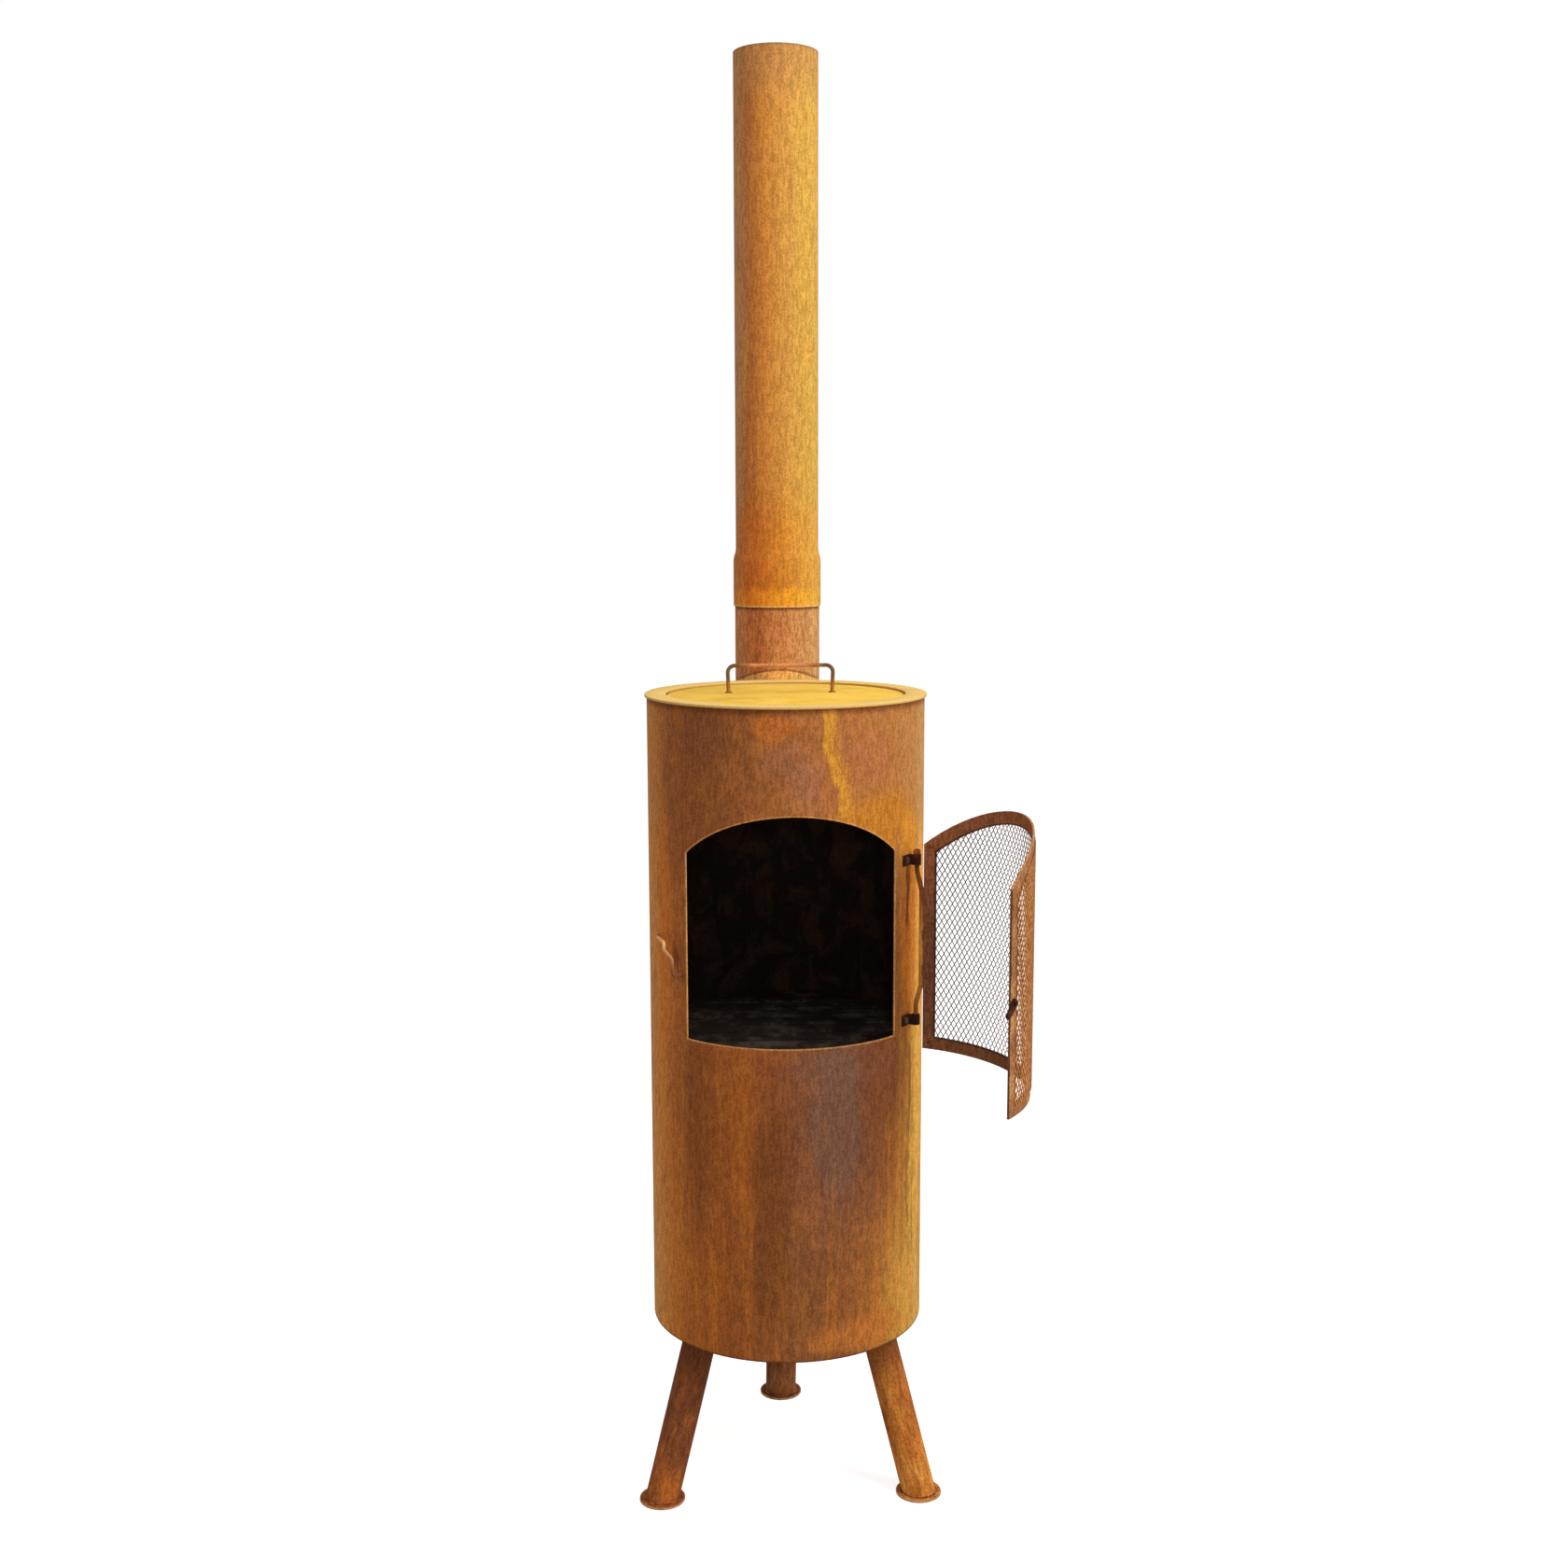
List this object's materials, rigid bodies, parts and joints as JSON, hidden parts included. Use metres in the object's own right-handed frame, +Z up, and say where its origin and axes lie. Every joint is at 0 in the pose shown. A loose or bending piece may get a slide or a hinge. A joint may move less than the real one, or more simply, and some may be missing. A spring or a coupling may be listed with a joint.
{
  "type": "chiminea",
  "caption": "Free-standing steel chiminea: drum firebox with arched mouth and hinged mesh door, lift-off lid, rear flue pipe and splayed tube legs.",
  "frame": {"origin": "on the ground under the drum's axis, at the centre of the circle of the three foot discs", "axes": "+Z up along the flue, the mouth faces -Y, +X is the right-hand side seen from the front, where the door's hinge is"},
  "size_m": [0.4634, 0.6896, 1.856],
  "materials": {
    "rusted_sheet": "raw sheet steel rusted orange-brown with run streaks, matt",
    "rusted_tube": "raw steel tube rusted orange-brown, matt",
    "golden_rust_plate": "raw plate steel with fresh golden-yellow rust, matt",
    "sooty_steel": "raw steel blackened by soot, matt",
    "dark_rust": "raw steel rusted dark red-brown, matt",
    "mesh_rust": "expanded steel mesh rusted brown, matt",
    "rod_steel": "raw round bar rusted brown, matt",
    "bolt_steel": "dark fastener steel, rusted, matt"
  },
  "bodies": {
    "firebox": {"firebox_shell": "rusted_sheet", "bottom_plate": "rusted_sheet", "leg_left": "rusted_tube", "leg_right": "rusted_tube", "leg_rear": "rusted_tube", "foot_left": "golden_rust_plate", "foot_right": "golden_rust_plate", "foot_rear": "golden_rust_plate", "fire_plate": "sooty_steel", "plate_lugs": "sooty_steel", "top_ring": "golden_rust_plate", "lid_ledge": "sooty_steel", "flue_outlet": "rusted_sheet", "flue_stub": "rusted_sheet", "hinge_strap_upper": "dark_rust", "hinge_strap_lower": "dark_rust", "hinge_bolts": "bolt_steel", "hinge_nuts": "bolt_steel", "latch_keeper": "rod_steel"},
    "lid": {"lid": "golden_rust_plate", "lid_handle": "rod_steel"},
    "flue": {"flue_pipe": "rusted_sheet"},
    "door": {"hinge_rod": "rod_steel", "rod_cap": "bolt_steel", "door_frame": "dark_rust", "door_mesh": "mesh_rust", "latch_rivet": "bolt_steel"},
    "latch": {"latch_lever": "dark_rust"}
  },
  "joints": [
    {"name": "door_hinge", "type": "hinge", "parent": "firebox", "child": "door", "pos_m": [0.15664, -0.0975, 0.7325], "axis": [0, 0, 1], "range_deg": [-99, 71]},
    {"name": "latch_pivot", "type": "hinge", "parent": "door", "child": "latch", "pos_m": [0.22925, -0.37872, 0.7275], "axis": [0.7921, -0.6103, 0], "range_deg": [-110, 10]},
    {"name": "lid_lift", "type": "slide", "parent": "firebox", "child": "lid", "axis": [0, 0, 1], "range_m": [0, 0.12]},
    {"name": "flue_lift", "type": "slide", "parent": "firebox", "child": "flue", "axis": [0, 0, 1], "range_m": [0, 0.09]}
  ]
}
